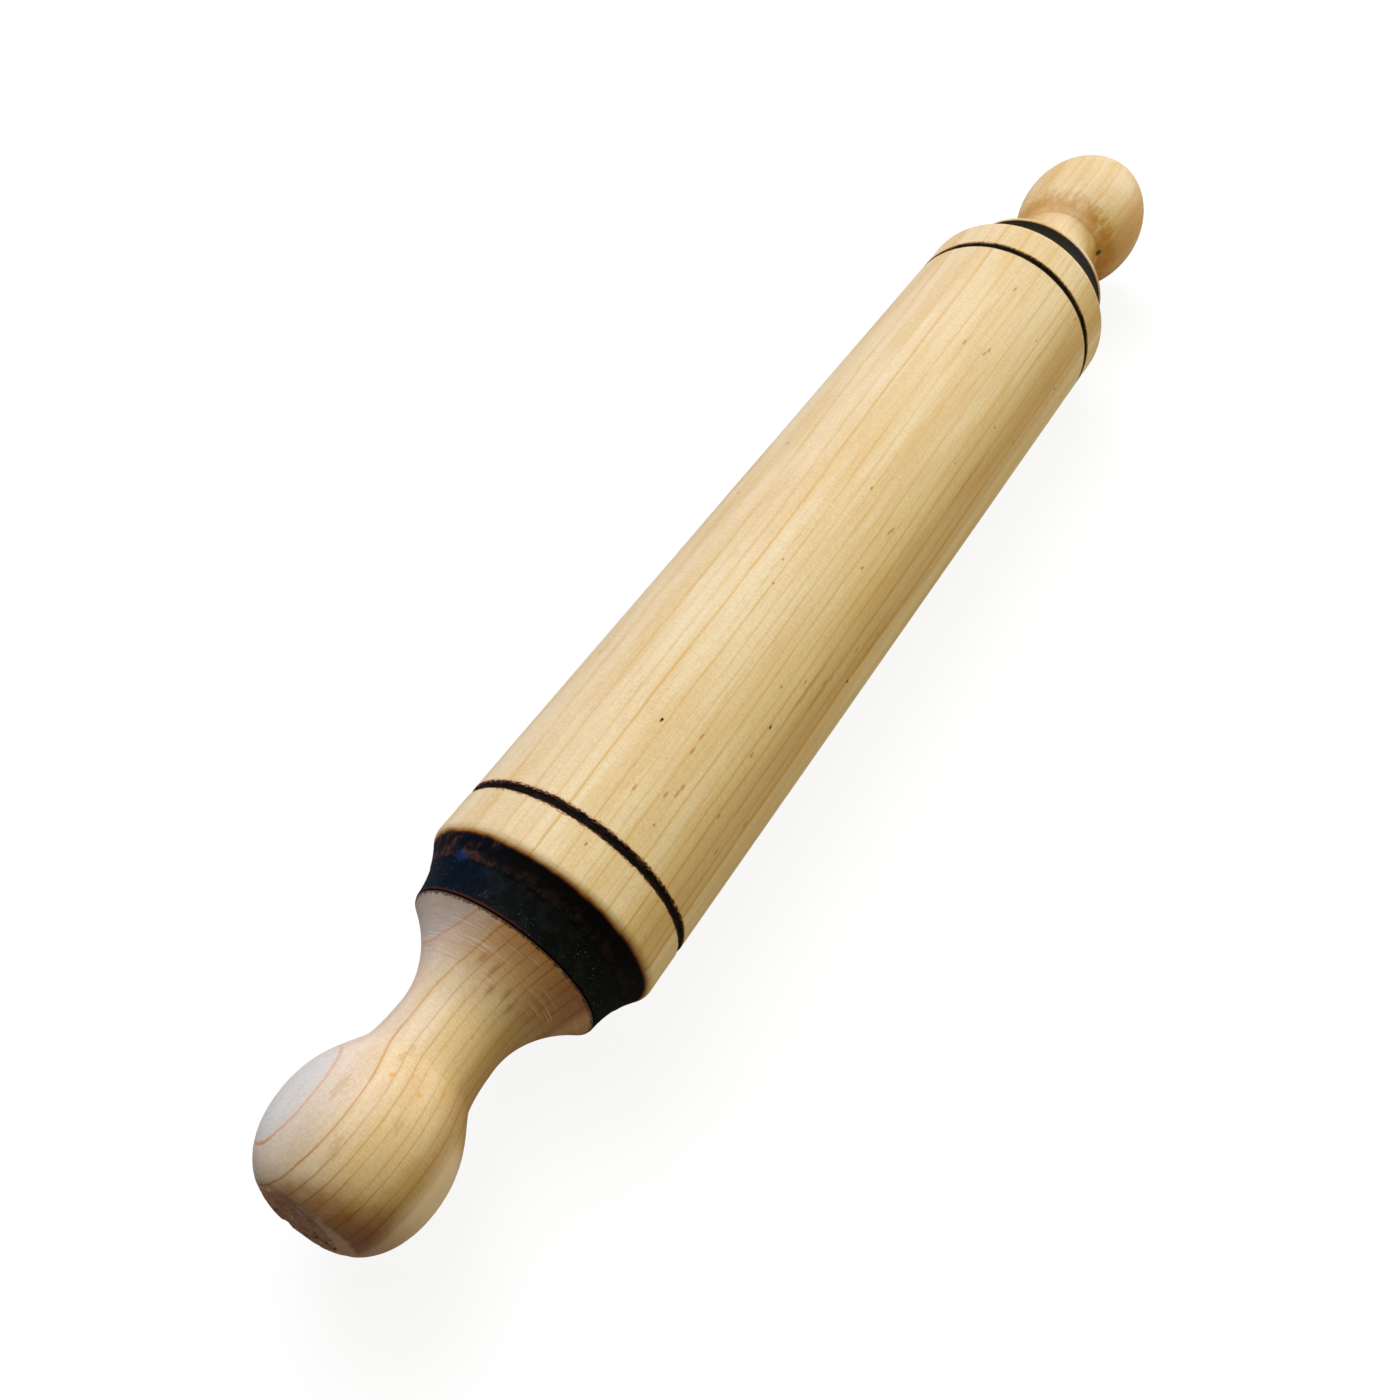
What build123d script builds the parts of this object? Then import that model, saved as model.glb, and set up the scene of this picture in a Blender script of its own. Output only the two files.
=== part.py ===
"""A turned wooden rolling pin with a barrel that runs on two ball bearings.

Lengths are in millimetres. X runs along the pin's axis, from the left handle to the right
one, Z is up, and the origin is on the axis in the middle of the barrel.
"""

import os

from build123d import *

# Barrel
barrel_radius = 30.0
line_spacing = 229.7  # between the middles of the two burned lines
line_width = 2.5
line_depth = 0.5
edge_start = 11.4  # from the middle of a burned line to where the barrel starts to round over
edge_length = 1.8
edge_drop = 0.8
left_band_length = 12.8  # of a blackened cove, along the axis
left_band_end_radius = 24.4
right_band_length = 11.5
right_band_end_radius = 24.15
axle_bore_radius = 6.5

# Running gap between the barrel's ends and the handles
end_gap = 0.4

# Left handle, with every place measured from the face that turns to the barrel
left_collar_radius = 24.2
left_neck_at = 19.5
left_neck_radius = 12.5
left_foot_at = 30.1  # where the neck meets the ball
left_foot_radius = 13.6
left_ball_at = 48.4
left_ball_radius = 20.15
left_length = 67.4
left_end_radius = 2.5  # of the flat left where the handle was parted off

# Right handle: turned by hand as well, its ball is longer and starts sooner
right_collar_radius = 24.0
right_neck_at = 18.0
right_neck_radius = 12.6
right_foot_at = 24.2
right_foot_radius = 13.8
right_ball_at = 42.7
right_ball_radius = 20.05
right_length = 68.7
right_end_radius = 2.5

# Axle rod
journal_radius = 4.0
shoulder_height = 1.0
rod_reach = 30.0  # from a handle's face to the rod's end inside it
rod_chamfer = 0.8

# Ball bearing, two of them
bearing_radius = 11.0
bearing_width = 7.0
inner_ring_radius = 6.05
outer_ring_bore_radius = 8.95
ring_chamfer = 0.3
bearing_ball_radius = 1.985
bearing_ball_count = 7
race_clearance = 0.02
pocket_clearance = 0.1
cage_gap = 0.7
cage_end_gap = 0.3
shield_thickness = 0.35
shield_recess = 0.25
shield_gap = 0.3

# Spacer washer, jam nut and threaded insert
washer_thickness = 1.0
washer_wall = 1.9
nut_height = 4.0
nut_across_flats = 13.0
nut_chamfer = 0.5
insert_length = 20.0
insert_wall = 2.0
insert_flange_radius = 9.0
insert_flange_thickness = 1.5
barb_count = 4
barb_depth = 0.5
rod_hole_wall_gap = 0.5  # round the rod's end, past the insert
rod_hole_end_gap = 2.0

# Fits
fit_clearance = 0.01  # radial, where one piece is pushed into or over another

# How the turned curves bend: control points along each curve and across it
edge_shares = ((0.65, 0.45),)
cove_shares = ((0.33, 0.62), (0.65, 0.9))
flare_shares = ((0.28, 0.63), (0.64, 1.0))
neck_shares = ((0.5, 0.0), (0.85, 0.45))
left_front_shares = ((0.24, 0.37), (0.49, 1.0))
left_back_shares = ((0.56, 0.0), (1.0, 0.31))
right_front_shares = ((0.02, 0.47), (0.52, 1.0))
right_back_shares = ((0.54, 0.0), (1.0, 0.55))
race_radius_share = 1.035  # of the ball that runs in the race

# Places along the axis, from the middle of the barrel
line_at = line_spacing / 2
edge_at = line_at + edge_start
band_at = edge_at + edge_length

# The two ends of the pin, as the sign that X has there
left = -1
right = 1
barrel_ends = {left: band_at + left_band_length, right: band_at + right_band_length}
band_end_radii = {left: left_band_end_radius, right: right_band_end_radius}

# Places from a barrel's end face, outwards, where the pieces between barrel and handle meet
nut_at = end_gap - nut_height
washer_at = nut_at - washer_thickness
bearing_at = washer_at - bearing_width
bearing_middle = bearing_at + bearing_width / 2

# Radii that follow from the sizes above
rod_radius = journal_radius + shoulder_height
journal_bore_radius = journal_radius + fit_clearance
bearing_seat_radius = bearing_radius + fit_clearance
pitch_radius = (inner_ring_radius + outer_ring_bore_radius) / 2
race_radius = bearing_ball_radius * race_radius_share
race_offset = race_radius - bearing_ball_radius - race_clearance
insert_radius = journal_bore_radius + insert_wall
shield_at = bearing_width / 2 - shield_recess - shield_thickness
cage_half_width = shield_at - cage_end_gap


def axial_plane(side, place=0):
    """A plane along the axis: x runs out to one side from a place on it, and y is the radius."""
    return Plane(origin=(side * place, 0, 0), x_dir=(side, 0, 0), z_dir=(0, -side, 0))


def end_plane(side):
    """The plane along the axis whose x starts at one end of the barrel."""
    return axial_plane(side, barrel_ends[side])


def cross_plane(side, place):
    """The plane square to the axis at a place that is measured outwards from a barrel's end."""
    middle = (side * (barrel_ends[side] + place), 0, 0)
    return Plane(origin=middle, x_dir=(0, 1, 0), z_dir=(side, 0, 0))


def curve_points(start, end, shares):
    """A curve's control points: the shares say how far each lies from start to end."""
    along = end[0] - start[0]
    across = end[1] - start[1]
    middle = [(start[0] + a * along, start[1] + b * across) for a, b in shares]
    return [start, *middle, end]


def save(piece, name):
    """Names a finished piece and writes its file."""
    piece.part.label = name
    export_step(piece.part, f"parts/{name}.step")


def turned_barrel():
    """The barrel: a burned line and a blackened cove near each end, bored for axle and bearings."""
    line_start = (line_at - line_width / 2, barrel_radius)
    line_middle = (line_at, barrel_radius - line_depth)
    line_end = (line_at + line_width / 2, barrel_radius)
    edge_top = (edge_at, barrel_radius)
    band_top = (band_at, barrel_radius - edge_drop)
    with BuildPart() as barrel:
        for side, barrel_end in barrel_ends.items():
            band_foot = (barrel_end, band_end_radii[side])
            seat_floor = barrel_end + bearing_at
            with BuildSketch(axial_plane(side)):
                with BuildLine():
                    Line((0, barrel_radius), line_start)
                    ThreePointArc(line_start, line_middle, line_end)
                    Line(line_end, edge_top)
                    Bezier(*curve_points(edge_top, band_top, edge_shares))
                    Bezier(*curve_points(band_top, band_foot, cove_shares))
                    Polyline(
                        band_foot,
                        (barrel_end, bearing_seat_radius),
                        (seat_floor, bearing_seat_radius),
                        (seat_floor, axle_bore_radius),
                        (0, axle_bore_radius),
                        (0, barrel_radius),
                    )
                make_face()
            revolve(axis=Axis.X)
    return barrel


def turned_handle(side, collar, neck, foot, ball, tip, front_shares, back_shares):
    """A handle: flared collar, neck and ball. Each point is a place from its face and a radius."""
    collar, neck, foot, ball, tip = (
        (end_gap + place, radius) for place, radius in (collar, neck, foot, ball, tip)
    )
    flange_floor = end_gap + insert_flange_thickness
    insert_floor = end_gap + insert_length
    hole_floor = end_gap + rod_reach + rod_hole_end_gap
    flange_seat_radius = insert_flange_radius + fit_clearance
    insert_seat_radius = insert_radius + fit_clearance
    rod_hole_radius = journal_radius + rod_hole_wall_gap
    with BuildPart() as handle:
        with BuildSketch(end_plane(side)):
            with BuildLine():
                Bezier(*curve_points(collar, neck, flare_shares))
                Bezier(*curve_points(neck, foot, neck_shares))
                Bezier(*curve_points(foot, ball, front_shares))
                Bezier(*curve_points(ball, tip, back_shares))
                Polyline(
                    tip,
                    (tip[0], 0),
                    (hole_floor, 0),
                    (hole_floor, rod_hole_radius),
                    (insert_floor, rod_hole_radius),
                    (insert_floor, insert_seat_radius),
                    (flange_floor, insert_seat_radius),
                    (flange_floor, flange_seat_radius),
                    (end_gap, flange_seat_radius),
                    collar,
                )
            make_face()
        revolve(axis=Axis.X)
    return handle


def axle_rod():
    """The rod: its shoulders hold the bearings apart and its thinner ends screw into the handles."""
    with BuildPart() as rod:
        for side, barrel_end in barrel_ends.items():
            shoulder_at = barrel_end + bearing_at
            rod_end = barrel_end + end_gap + rod_reach
            with BuildSketch(axial_plane(side)):
                with BuildLine():
                    Polyline(
                        (0, 0),
                        (0, rod_radius),
                        (shoulder_at, rod_radius),
                        (shoulder_at, journal_radius),
                        (rod_end - rod_chamfer, journal_radius),
                        (rod_end, journal_radius - rod_chamfer),
                        (rod_end, 0),
                        close=True,
                    )
                make_face()
            revolve(axis=Axis.X)
    return rod


def bearing_ring(side, bore_radius, outer_radius, race_circle_radius):
    """A bearing ring, chamfered at its corners, with the race for the balls cut round it."""
    with BuildPart() as ring:
        with BuildSketch(end_plane(side)) as section:
            with Locations((bearing_middle, (bore_radius + outer_radius) / 2)):
                Rectangle(bearing_width, outer_radius - bore_radius)
            chamfer(section.vertices(), ring_chamfer)
        revolve(axis=Axis.X)
        with BuildSketch(end_plane(side)):
            with Locations((bearing_middle, race_circle_radius)):
                Circle(race_radius)
        revolve(axis=Axis.X, mode=Mode.SUBTRACT)
    return ring


def outer_ring(side):
    """A bearing's outer ring, pushed into the barrel, with its race round its bore."""
    return bearing_ring(side, outer_ring_bore_radius, bearing_radius, pitch_radius - race_offset)


def inner_ring(side):
    """A bearing's inner ring, held on the rod, with its race round its outside."""
    return bearing_ring(side, journal_bore_radius, inner_ring_radius, pitch_radius + race_offset)


def bearing_balls(side):
    """A bearing's balls, evenly spaced round its pitch circle."""
    with BuildPart(cross_plane(side, bearing_middle)) as balls:
        with PolarLocations(pitch_radius, bearing_ball_count):
            Sphere(bearing_ball_radius)
    return balls


def bearing_cage(side):
    """The ring that keeps a bearing's balls apart, with a round pocket drilled for each ball."""
    inner_radius = inner_ring_radius + cage_gap
    outer_radius = outer_ring_bore_radius - cage_gap
    with BuildPart(cross_plane(side, bearing_middle)) as cage:
        Cylinder(outer_radius, 2 * cage_half_width)
        Cylinder(inner_radius, 2 * cage_half_width, mode=Mode.SUBTRACT)
        with PolarLocations(pitch_radius, bearing_ball_count):
            Cylinder(
                bearing_ball_radius + pocket_clearance,
                2 * bearing_ball_radius,
                rotation=(0, 90, 0),
                mode=Mode.SUBTRACT,
            )
    return cage


def bearing_shield(side, place):
    """A thin steel disc in the outer ring that covers the balls and clears the inner ring."""
    with BuildPart() as shield:
        with BuildSketch(cross_plane(side, place)):
            Circle(outer_ring_bore_radius - fit_clearance)
            Circle(inner_ring_radius + shield_gap, mode=Mode.SUBTRACT)
        extrude(amount=shield_thickness)
    return shield


def spacer_washer(side):
    """The washer between the jam nut and the bearing's inner ring."""
    with BuildPart() as washer:
        with BuildSketch(cross_plane(side, washer_at)):
            Circle(journal_bore_radius + washer_wall)
            Circle(journal_bore_radius, mode=Mode.SUBTRACT)
        extrude(amount=washer_thickness)
    return washer


def jam_nut(side):
    """The hexagonal nut that clamps washer and inner ring against the rod's shoulder."""
    corner_radius = nut_across_flats / 3**0.5
    with BuildPart() as nut:
        with BuildSketch(cross_plane(side, nut_at)):
            RegularPolygon(nut_across_flats / 2, 6, major_radius=False)
            Circle(journal_bore_radius, mode=Mode.SUBTRACT)
        extrude(amount=nut_height)
        with BuildSketch(end_plane(side)):
            with BuildLine():
                Polyline(
                    (nut_at, 0),
                    (nut_at, corner_radius - nut_chamfer),
                    (nut_at + nut_chamfer, corner_radius),
                    (end_gap - nut_chamfer, corner_radius),
                    (end_gap, corner_radius - nut_chamfer),
                    (end_gap, 0),
                    close=True,
                )
            make_face()
        revolve(axis=Axis.X, mode=Mode.INTERSECT)
    return nut


def threaded_insert(side):
    """The barbed brass insert in a handle, flush with its face, that the rod screws into."""
    start = end_gap + insert_flange_thickness
    end = end_gap + insert_length
    barb_length = (end - start) / barb_count
    barbs = []
    for number in range(barb_count):
        barbs.append((start + number * barb_length, insert_radius))
        barbs.append((start + (number + 1) * barb_length, insert_radius - barb_depth))
    with BuildPart() as insert:
        with BuildSketch(end_plane(side)):
            with BuildLine():
                Polyline(
                    (end_gap, journal_bore_radius),
                    (end_gap, insert_flange_radius),
                    (start, insert_flange_radius),
                    *barbs,
                    (end, journal_bore_radius),
                    close=True,
                )
            make_face()
        revolve(axis=Axis.X)
    return insert


os.makedirs("parts", exist_ok=True)

save(turned_barrel(), "barrel")
save(axle_rod(), "axle_rod")

left_handle = turned_handle(
    left,
    collar=(0, left_collar_radius),
    neck=(left_neck_at, left_neck_radius),
    foot=(left_foot_at, left_foot_radius),
    ball=(left_ball_at, left_ball_radius),
    tip=(left_length, left_end_radius),
    front_shares=left_front_shares,
    back_shares=left_back_shares,
)
save(left_handle, "left_handle")

right_handle = turned_handle(
    right,
    collar=(0, right_collar_radius),
    neck=(right_neck_at, right_neck_radius),
    foot=(right_foot_at, right_foot_radius),
    ball=(right_ball_at, right_ball_radius),
    tip=(right_length, right_end_radius),
    front_shares=right_front_shares,
    back_shares=right_back_shares,
)
save(right_handle, "right_handle")

for name, side in (("left", left), ("right", right)):
    save(outer_ring(side), f"{name}_bearing_outer_ring")
    save(inner_ring(side), f"{name}_bearing_inner_ring")
    save(bearing_balls(side), f"{name}_bearing_balls")
    save(bearing_cage(side), f"{name}_bearing_cage")
    save(bearing_shield(side, bearing_middle + shield_at), f"{name}_bearing_front_shield")
    save(
        bearing_shield(side, bearing_middle - shield_at - shield_thickness),
        f"{name}_bearing_back_shield",
    )
    save(spacer_washer(side), f"{name}_spacer_washer")
    save(jam_nut(side), f"{name}_jam_nut")
    save(threaded_insert(side), f"{name}_threaded_insert")
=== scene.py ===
"""The looks of a turned wooden rolling pin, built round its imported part.

Lengths of the pin are in millimetres and become metres when a mesh is written; the floor, the
lights and the camera are in metres. X runs along the pin's axis from the left handle to the
right one, Z is up, and the origin is on the axis in the middle of the barrel. "Out" is a
distance from that middle along the axis, towards either end.
"""

import itertools
import math

import bpy
import numpy as np
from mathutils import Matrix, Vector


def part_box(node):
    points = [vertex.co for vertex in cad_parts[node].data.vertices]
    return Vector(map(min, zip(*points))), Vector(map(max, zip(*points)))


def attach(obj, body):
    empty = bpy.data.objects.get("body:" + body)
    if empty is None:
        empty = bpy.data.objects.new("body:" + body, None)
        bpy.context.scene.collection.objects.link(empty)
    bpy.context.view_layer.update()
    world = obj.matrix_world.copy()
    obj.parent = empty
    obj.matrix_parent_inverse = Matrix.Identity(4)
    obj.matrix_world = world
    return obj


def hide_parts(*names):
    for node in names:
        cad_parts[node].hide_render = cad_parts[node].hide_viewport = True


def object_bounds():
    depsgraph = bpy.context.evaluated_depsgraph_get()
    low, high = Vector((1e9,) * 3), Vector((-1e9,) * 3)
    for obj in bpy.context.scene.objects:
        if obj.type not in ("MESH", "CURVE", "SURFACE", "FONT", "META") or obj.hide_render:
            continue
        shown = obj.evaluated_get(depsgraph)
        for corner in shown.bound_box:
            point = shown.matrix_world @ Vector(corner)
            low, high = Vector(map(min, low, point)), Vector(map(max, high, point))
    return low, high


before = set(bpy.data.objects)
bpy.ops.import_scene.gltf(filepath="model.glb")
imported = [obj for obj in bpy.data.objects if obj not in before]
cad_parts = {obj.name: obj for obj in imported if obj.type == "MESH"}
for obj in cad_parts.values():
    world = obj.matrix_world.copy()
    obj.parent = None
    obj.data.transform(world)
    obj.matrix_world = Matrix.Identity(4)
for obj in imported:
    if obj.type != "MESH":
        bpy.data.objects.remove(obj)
cad_low, cad_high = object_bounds()

METRES = 0.001  # of a millimetre
LEFT, RIGHT = -1, 1
sharp_from = 50  # degrees between two faces that meet in a sharp edge
face_rim = 0.15  # how far the edge of an end face is cut back

# How many points each stretch of an outline has
side_points, line_points, edge_points, cove_points = 27, 37, 12, 62
flare_points, neck_points, ball_front_points, ball_back_points = 62, 24, 48, 84

# Barrel
barrel_columns = 300  # of the mesh, round the axis
barrel_hollows = 0.05  # half the depth of the sanded hollows
line_at = 114.85  # out to the middle of a burned line
line_width = 2.5
line_depth = 0.5
line_wander = 0.12  # of a burned line's middle, and of its edges
line_crust = 0.1
edge_at = 126.25  # out to where the barrel starts to round over
band_at = 128.05  # out to where the blackened cove starts
edge_drop = 0.8
axle_bore_radius = 6.5
bearing_seat_radius = 11.01
bearing_seat_depth = 11.6
band_ridge_at = 133.2  # out to the low ridge between the two strokes of the cove
edge_shares = ((0.6, 0.06),)
cove_shares = ((0.33, 0.62), (0.65, 0.9))
char_sunk, char_streaks, char_flakes = 0.1, 0.09, 0.06  # heights of the charred crust

# Handles, with places measured from the face that turns to the barrel
handle_columns = 400
handle_hollows = 0.07
turning_mark_depth = 0.02
tear_depth, torn_back = 0.7, 0.1  # of the torn grain at the end
torn_start, torn_full = 2.6, 1.8  # before the end, where the torn grain starts and is full
flare_shares = ((0.28, 0.63), (0.64, 1.0))
neck_shares = ((0.5, 0.0), (0.85, 0.45))
handle_sizes = {
    LEFT: {
        "neck": (19.5, 12.5),
        "foot": (30.1, 13.6),
        "ball": (48.4, 20.15),
        "front_shares": ((0.24, 0.37), (0.49, 1.0)),
        "back_shares": ((0.56, 0.0), (1.0, 0.31)),
    },
    RIGHT: {
        "neck": (18.0, 12.6),
        "foot": (24.2, 13.8),
        "ball": (42.7, 20.05),
        "front_shares": ((0.14, 0.4), (0.5, 1.0)),
        "back_shares": ((0.54, 0.0), (1.0, 0.55)),
    },
}
collar_radii = {LEFT: 24.2, RIGHT: 24.0}
collar_lands = {LEFT: (), RIGHT: ((1.7, 0.15),)}  # an almost straight start, and its drop
band_end_radii = {LEFT: 24.4, RIGHT: 24.15}
tip_radius = 2.5
flange_seat_radius = 9.01
flange_depth = 1.5
insert_seat_radius = 6.02
insert_depth = 20.0
rod_hole_radius = 4.5
rod_hole_depth = 32.0

# Growth rings: they lie almost flat in the blank, square to this direction
ring_direction = (0.0, -0.793, -0.609)
ring_side = (0.0, -0.609, 0.793)
# How far the rings have climbed by each place along the axis
ring_climb = (
    (-210.0, -1.2),
    (-182.0, -1.3),
    (-162.0, -1.65),
    (-147.0, -1.3),
    (-100.0, 0.0),
    (-60.0, 0.4),
    (-10.0, 1.3),
    (50.0, 2.9),
    (99.0, 3.6),
    (150.0, 5.0),
    (176.0, 6.2),
    (210.0, 6.8),
)
# How far each ring's dark line lies from the axis, and how dark it is on the barrel, on the left
# handle and on the right one
rings = (
    (-34.5, 0.4, 0.0, 0.2),
    (-31.5, 0.4, 0.0, 0.2),
    (-28.2, 0.3, 0.0, 0.2),
    (-24.5, 0.5, 0.0, 0.2),
    (-22.7, 0.2, 0.0, 0.1),
    (-20.4, 0.4, 0.0, 0.3),
    (-17.7, 0.9, 0.65, 0.4),
    (-13.9, 0.15, 0.1, 0.2),
    (-12.2, 0.6, 0.8, 0.3),
    (-9.1, 0.35, 0.5, 0.5),
    (-6.5, 0.35, 0.5, 0.4),
    (-4.2, 0.5, 0.4, 0.35),
    (-0.8, 0.3, 0.4, 0.3),
    (1.3, 0.7, 0.5, 0.5),
    (4.9, 0.35, 0.45, 0.3),
    (7.2, 0.95, 0.6, 0.35),
    (10.1, 0.85, 0.55, 0.4),
    (13.9, 0.85, 0.5, 0.4),
    (17.1, 0.65, 0.45, 0.3),
    (19.3, 1.0, 0.45, 0.3),
    (22.3, 0.1, 0.4, 0.3),
    (25.2, 0.6, 0.5, 0.3),
    (28.5, 0.4, 0.5, 0.3),
    (31.5, 0.4, 0.5, 0.3),
    (34.5, 0.4, 0.5, 0.3),
)
# Past this distance from the axis the rings spread: on one side along the barrel, on the other
# along the left handle
spread_past = 10.0
spread_on_barrel, spread_on_handle = 0.13, 0.06
on_barrel, on_left_handle, on_right_handle = 1, 2, 3  # which number of a ring
ring_line_width = 0.5
left_line_share = 0.65  # how wide the lines on the left handle are beside the others
line_before, line_behind = 1.1, 0.6  # how many widths a line reaches to each side of its ring
glow_before, glow_behind = 5, 2  # and its glow
broad_wander, fine_wander = 0.35, 0.14  # of the rings along the grain

# Sizes of the wood's grain, along it and across it
broad_wander_size, fine_wander_size = (85.0, 24.0, 40.0), (13.0, 5.0, 5.0)
line_fading_size = (26.0, 3.0, 9.0)
mottle_size = (60.0, 6.0, 9.0)
fibre_size, fuzz_size = (16.0, 0.4, 0.4), (0.8, 0.4, 0.4)
sanding_size = (0.35, 2.0, 2.0)
pore_size, pore_patch_size = (3.0, 0.26, 0.26), (30.0, 7.0, 7.0)
fleck_spacing = (7.0, 3.4, 3.4)
wood_relief = 0.06  # the depth of the grain
wood_shine = 0.3

char_at = 128.9  # out to where the char starts, further on the right and nearer on the left
edge_burn_at = 139.9  # out to where the char turns red-brown, before the parting

# Marks on the barrel, each given by its place along the axis and among the rings
dark_knots = ((-84.2, -13.3), (-36.6, 19.4), (-66.1, 7.9))
brown_stains = ((-96.4, -1.0), (-94.2, -0.9), (-98.4, -3.0), (-85.8, -4.0), (-81.4, -4.3),
                (-101.9, -9.3), (0.0, 3.6), (1.4, 3.9), (71.0, -3.6), (73.2, -3.1), (70.0, -9.6),
                (100.0, -7.3), (-97.1, 16.0), (-44.6, 13.4), (-50.0, 8.5), (-75.0, 8.2),
                (-86.0, 18.6), (-29.7, 15.8), (-20.0, 18.8), (62.5, 20.5))
stained_lines = ((-48.5, 10.4), (-26.0, 19.4), (37.0, 14.4), (-48.0, 13.9))
pale_smudges = ((3.0, -16.6), (-39.0, -20.3), (60.0, -16.2), (-107.0, -15.0))
# Marks given by their places along X, Y and Z
blue_flecks = ((-132.8, 14.0, 22.5),)
resin_specks = ((-177.6, -2.6, 17.1), (-177.8, -8.8, 14.9), (-174.1, -11.3, 10.2))
green_flecks = ((164.7, -13.3, 4.1),)
ball_smudges = ((-194.5, -3.2, 19.5), (-196.2, -3.8, 19.0), (-185.0, -10.8, 16.6),
                (-184.7, 3.7, 19.4), (-173.0, -0.9, 14.5), (-186.6, 3.4, 19.5),
                (-170.5, -1.0, 13.9))
flare_smudges = ((-150.4, 0.2, 15.0), (-151.8, 3.0, 14.5), (-147.9, -8.6, 14.0),
                 (-148.6, -5.3, 15.0), (-151.8, -3.0, 14.5))
# Out, on the left handle: the turning scratches, the darker end of grime and painted shade, and the
# torn grain
flare_marks_from, flare_marks_to = 141.3, 154.0
grime_and_shade_from = 196.5
torn_from = 206.5

node_boxes = {name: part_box(name) for name in ("barrel", "left_handle", "right_handle")}
barrel_radius = node_boxes["barrel"][1].z / METRES
barrel_ends = {
    LEFT: -node_boxes["barrel"][0].x / METRES,
    RIGHT: node_boxes["barrel"][1].x / METRES,
}
handle_faces = {
    LEFT: -node_boxes["left_handle"][1].x / METRES,
    RIGHT: node_boxes["right_handle"][0].x / METRES,
}
handle_tips = {
    LEFT: -node_boxes["left_handle"][0].x / METRES,
    RIGHT: node_boxes["right_handle"][1].x / METRES,
}


def turned_curve(start, end, shares, count):
    """Points of a turned curve: its control points lie the given shares of the way from start
    to end, along the axis and across it, and binomial weights blend them."""
    start, end = np.array(start), np.array(end)
    inner = [start + np.array(share) * (end - start) for share in shares]
    controls = np.array([start, *inner, end])
    degree = len(controls) - 1
    t = np.linspace(0, 1, count)[:, None]
    k = np.arange(degree + 1)
    binomials = np.array([math.comb(degree, number) for number in k])
    return (binomials * t**k * (1 - t) ** (degree - k)) @ controls


def on_skin(marks):
    """Places on the barrel's skin, for marks given by how far they lie along the axis and among
    the rings. The way beside the rings' direction is the root of radius squared less the way
    along it squared."""
    places = []
    for along, ring in marks:
        across = ring - np.interp(along, *zip(*ring_climb))
        beside = math.sqrt(barrel_radius**2 - across**2)
        _, y, z = across * np.array(ring_direction) + beside * np.array(ring_side)
        places.append((along, float(y), float(z)))
    return places


def straight(start, end, count):
    """Evenly spaced points on a straight stretch of an outline."""
    return np.linspace(start, end, count)


# Large odd numbers that scramble the corners of the noise, and the width of the numbers kept
corner_scramblers = np.array([374761393, 668265263, 1103515245])
seed_scrambler = 362437
scramblers = ((15, 2246822519), (13, 3266489917))
low_32_bits, low_24_bits = 0xFFFFFFFF, 0xFFFFFF


def lattice_noise(places, seed):
    """Smooth noise from -1 to 1: each whole-numbered corner of space holds a scrambled value,
    and smooth steps join the eight corners round a place."""
    corner_place = np.floor(places)
    part = places - corner_place
    corner_place = corner_place.astype(np.int64)
    step = part * part * (3 - 2 * part)
    total = np.zeros(places.shape[:-1])
    for corner in itertools.product((0, 1), repeat=3):
        key = (corner_place + corner) @ corner_scramblers
        key = (key + seed * seed_scrambler) & low_32_bits
        for shift, factor in scramblers:
            key = ((key ^ (key >> shift)) * factor) & low_32_bits
        value = ((key ^ (key >> 16)) & low_24_bits) / low_24_bits
        weight = np.where(corner, step, 1 - step).prod(-1)
        total += value * weight
    return 2 * total - 1


def cloud(places, size, seed, layers=3):
    """Layers of smooth noise, each half as large and half as strong as the one before. Size is
    one length or three, of the noise along each axis."""
    total = sum(
        lattice_noise(places * 2**layer / np.array(size), seed + layer) / 2**layer
        for layer in range(layers)
    )
    return total / (2 - 2 ** (1 - layers))


def smooth_step(value, low, high):
    """0 below low, 1 above high, and a smooth rise between them."""
    t = np.clip((value - low) / (high - low), 0, 1)
    return t * t * (3 - 2 * t)


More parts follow.
